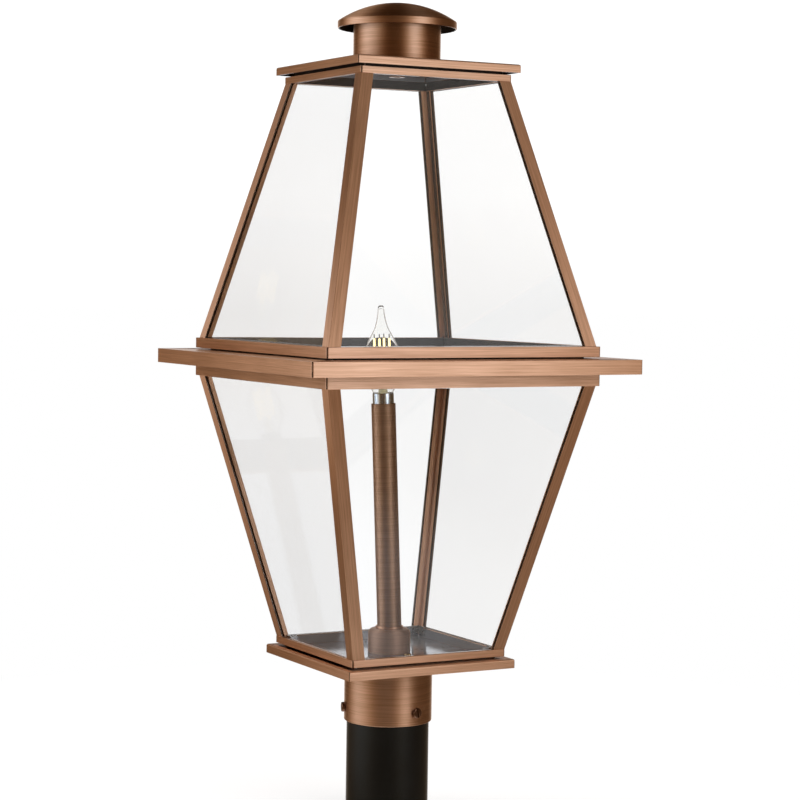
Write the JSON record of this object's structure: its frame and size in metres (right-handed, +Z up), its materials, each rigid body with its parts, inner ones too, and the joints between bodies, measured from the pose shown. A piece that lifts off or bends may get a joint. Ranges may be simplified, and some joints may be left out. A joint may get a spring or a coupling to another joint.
{
  "type": "outdoor post light",
  "caption": "Square copper finished post lantern: two tapered glass cages meet at a wide brim, with a chimney cap above and a round post fitter below.",
  "frame": {"origin": "centre of the lower end of the post stub, on the ground side", "axes": "+Z up along the post, +X and +Y square to the lantern's glass faces, -Y the face named front"},
  "size_m": [0.3294, 0.3294, 0.7434],
  "materials": {
    "post_black": "satin black powder coat",
    "copper": "brushed antique copper",
    "copper_brown": "brushed antique copper, darker",
    "pane_glass": "clear",
    "plated_steel": "zinc plated",
    "screw_brass": "plain brass",
    "socket_phenolic": "moulded",
    "bulb_plate": "nickel plated",
    "bulb_clear": "clear blown",
    "filament_yellow": "yellow phosphor",
    "lead_black": "insulation",
    "lead_white": "insulation",
    "lead_green": "insulation and green screw",
    "connector_orange": "moulded"
  },
  "bodies": {
    "post": {"post_tube": "post_black"},
    "lantern": {"fitter": "copper", "base_tray": "copper", "base_band": "copper", "lower_middle_band": "copper", "brim": "copper", "upper_middle_band": "copper", "neck_band": "copper", "candle_cup": "copper", "candle_sleeve": "copper", "lower_post_front_left": "copper_brown", "lower_post_front_right": "copper_brown", "lower_post_back_right": "copper_brown", "lower_post_back_left": "copper_brown", "upper_post_front_left": "copper_brown", "upper_post_front_right": "copper_brown", "upper_post_back_right": "copper_brown", "upper_post_back_left": "copper_brown", "lower_glass_stops": "copper_brown", "upper_glass_stops": "copper_brown", "candle_collar": "copper_brown", "lower_glass_front": "pane_glass", "lower_glass_right": "pane_glass", "lower_glass_back": "pane_glass", "lower_glass_left": "pane_glass", "upper_glass_front": "pane_glass", "upper_glass_right": "pane_glass", "upper_glass_back": "pane_glass", "upper_glass_left": "pane_glass", "glass_clips": "plated_steel", "stem_pipe": "plated_steel", "pipe_lock_nuts": "plated_steel", "pipe_washers": "plated_steel", "socket_bushing": "plated_steel", "fitter_screws": "screw_brass", "socket_shell": "screw_brass", "socket_contact": "screw_brass", "socket_body": "socket_phenolic", "black_lead": "lead_black", "white_lead": "lead_white", "ground_lead": "lead_green", "ground_screw": "lead_green", "wire_connectors": "connector_orange"},
    "roof": {"roof_plate": "copper", "roof_collar": "copper_brown", "chimney": "copper", "dome_cap": "copper", "roof_rod": "plated_steel", "roof_nut": "copper_brown", "roof_washer": "plated_steel"},
    "bulb": {"bulb_base": "bulb_plate", "bulb_glass": "bulb_clear", "bulb_mount": "bulb_clear", "bulb_filaments": "filament_yellow"},
    "set_screw_1": {"set_screw_1": "copper_brown"},
    "set_screw_2": {"set_screw_2": "copper_brown"},
    "set_screw_3": {"set_screw_3": "copper_brown"}
  },
  "joints": [
    {"name": "lantern_turn", "type": "hinge", "parent": "post", "child": "lantern", "pos_m": [0, 0, 0.1], "axis": [0, 0, 1], "range_deg": [-180, 180]},
    {"name": "roof_lift", "type": "slide", "parent": "lantern", "child": "roof", "axis": [0, 0, 1], "range_m": [0, 0.1]},
    {"name": "bulb_lift", "type": "slide", "parent": "lantern", "child": "bulb", "axis": [-0.0352, 0.0192, 0.9992], "range_m": [0, 0.03]},
    {"name": "set_screw_1_turn_out", "type": "slide", "parent": "lantern", "child": "set_screw_1", "axis": [0.1908, -0.9816, 0], "range_m": [0, 0.006]},
    {"name": "set_screw_2_turn_out", "type": "slide", "parent": "lantern", "child": "set_screw_2", "axis": [0.7547, 0.6561, 0], "range_m": [0, 0.006]},
    {"name": "set_screw_3_turn_out", "type": "slide", "parent": "lantern", "child": "set_screw_3", "axis": [-0.9455, 0.3256, 0], "range_m": [0, 0.006]}
  ]
}
